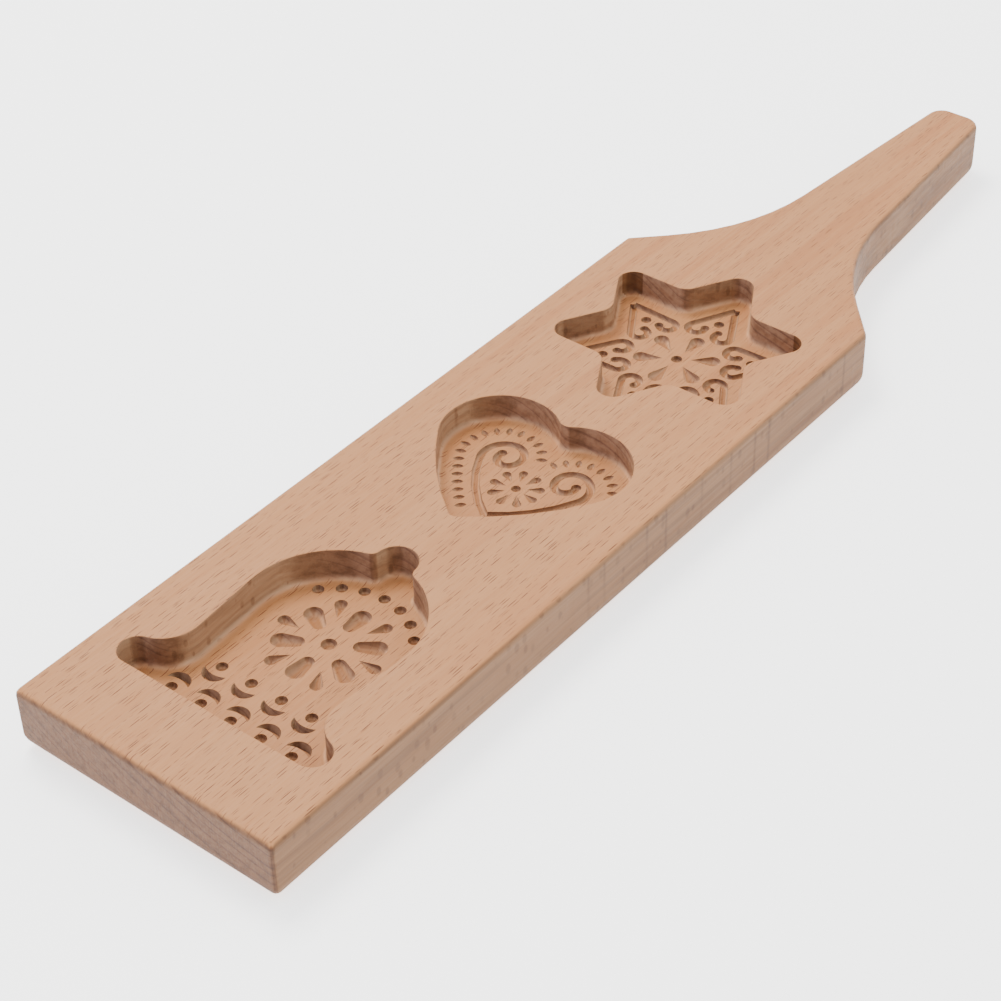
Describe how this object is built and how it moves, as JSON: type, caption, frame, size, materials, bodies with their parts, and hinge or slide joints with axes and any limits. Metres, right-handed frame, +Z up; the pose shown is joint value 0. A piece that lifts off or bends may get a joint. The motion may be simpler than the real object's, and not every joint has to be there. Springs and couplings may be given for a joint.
{
  "type": "wooden gingerbread mould",
  "caption": "Long flat beech board with a sawn handle and carved bell, heart and star hollows for pressing gingerbread dough.",
  "frame": {"origin": "middle of the board's flat underside, halfway along the overall length", "axes": "+X along the board towards the handle, +Y across it to the left seen from the plain end, +Z up out of the hollows"},
  "size_m": [0.386, 0.088, 0.02],
  "materials": {
    "beech": "bare sanded beech, unvarnished, darker where end grain is cut"
  },
  "bodies": {
    "root": {"mould_board": "beech"}
  },
  "joints": []
}
